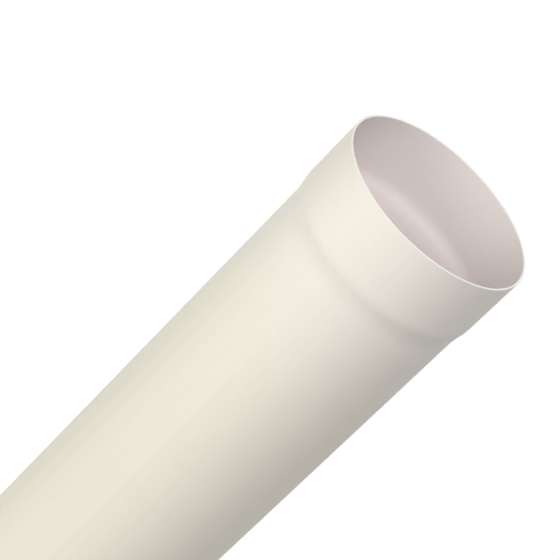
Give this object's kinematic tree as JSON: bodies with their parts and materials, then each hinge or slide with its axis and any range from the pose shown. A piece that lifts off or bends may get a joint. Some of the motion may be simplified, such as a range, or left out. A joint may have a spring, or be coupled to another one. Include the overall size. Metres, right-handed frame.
{
  "type": "pvc sewer pipe",
  "caption": "Thin-wall cream PVC sewer pipe with a plain solvent-weld socket on one end and a spigot on the other, standing on its spigot end.",
  "frame": {"origin": "centre of the cut face of the spigot end, which the pipe stands on", "axes": "+Z along the pipe's axis, from the spigot end up to the mouth of the socket"},
  "size_m": [0.1102, 0.11, 0.61],
  "materials": {
    "pvc": "smooth satin cream rigid PVC, as extruded"
  },
  "bodies": {
    "root": {"pipe": "pvc"}
  },
  "joints": []
}
